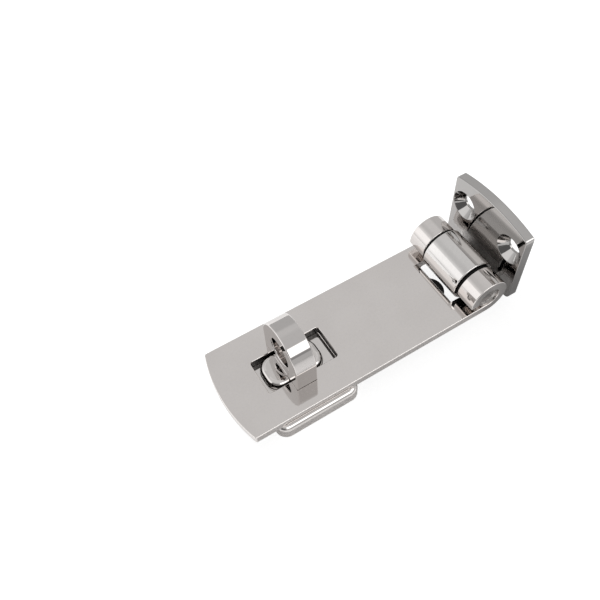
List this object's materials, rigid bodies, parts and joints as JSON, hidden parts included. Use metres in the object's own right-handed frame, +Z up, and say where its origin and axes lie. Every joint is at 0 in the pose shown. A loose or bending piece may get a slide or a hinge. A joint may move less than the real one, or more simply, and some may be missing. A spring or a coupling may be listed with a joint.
{
  "type": "hasp and staple",
  "caption": "Hinged metal hasp: a slotted strap closes over a swivelling padlock eye on its staple base, with an upright screw leaf at the hinge end.",
  "frame": {"origin": "where the swivel axis of the eye meets the door, in the plane of the staple base's underside", "axes": "+X along the strap towards the hinge, +Y across the strap, +Z up away from the door"},
  "size_m": [0.1095, 0.0396, 0.0389],
  "materials": {
    "polished_steel": "mirror-polished stainless steel with faint handling scratches",
    "pin_steel": "turned stainless steel",
    "black_nylon": "matt black nylon",
    "black_rubber": "matt black rubber"
  },
  "bodies": {
    "strap": {"strap_plate": "polished_steel", "hinge_pin": "pin_steel", "pin_dowel": "pin_steel", "washer_far": "black_nylon", "washer_near": "black_nylon", "rubber_buffer": "black_rubber", "staple_base": "polished_steel", "spring_washer": "pin_steel", "retaining_ring": "pin_steel"},
    "leaf": {"hinge_leaf": "polished_steel"},
    "eye": {"swivel_eye": "polished_steel"}
  },
  "joints": [
    {"name": "leaf_hinge", "type": "hinge", "parent": "strap", "child": "leaf", "pos_m": [0.0693, 0, 0.0132], "axis": [0, 1, 0], "range_deg": [-110, 65]},
    {"name": "eye_swivel", "type": "hinge", "parent": "strap", "child": "eye", "pos_m": [0, 0, 0.0092], "axis": [0, 0, 1], "continuous": true}
  ]
}
